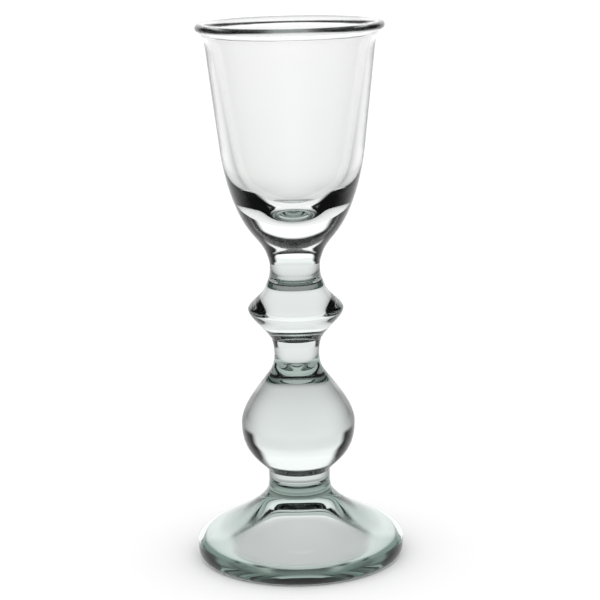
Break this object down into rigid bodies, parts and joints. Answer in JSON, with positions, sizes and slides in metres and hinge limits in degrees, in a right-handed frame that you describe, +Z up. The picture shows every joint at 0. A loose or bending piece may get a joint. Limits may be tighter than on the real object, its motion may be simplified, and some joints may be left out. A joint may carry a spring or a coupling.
{
  "type": "cordial glass",
  "caption": "Clear cordial glass: small flared bowl with a rolled lip on a knopped stem with an angular knop and a ball, over a hollow disc foot.",
  "frame": {"origin": "middle of the flat ring under the foot, on the table", "axes": "+Z up along the stem; the glass is round about Z, so X and Y are free"},
  "size_m": [0.0524, 0.0524, 0.135],
  "materials": {
    "clear_glass": "fire polished, clear, with a faint grey-green tint"
  },
  "bodies": {
    "root": {"foot": "clear_glass", "foot_neck": "clear_glass", "ball_knop": "clear_glass", "middle_neck": "clear_glass", "angular_knop": "clear_glass", "upper_neck": "clear_glass", "bowl": "clear_glass"}
  },
  "joints": []
}
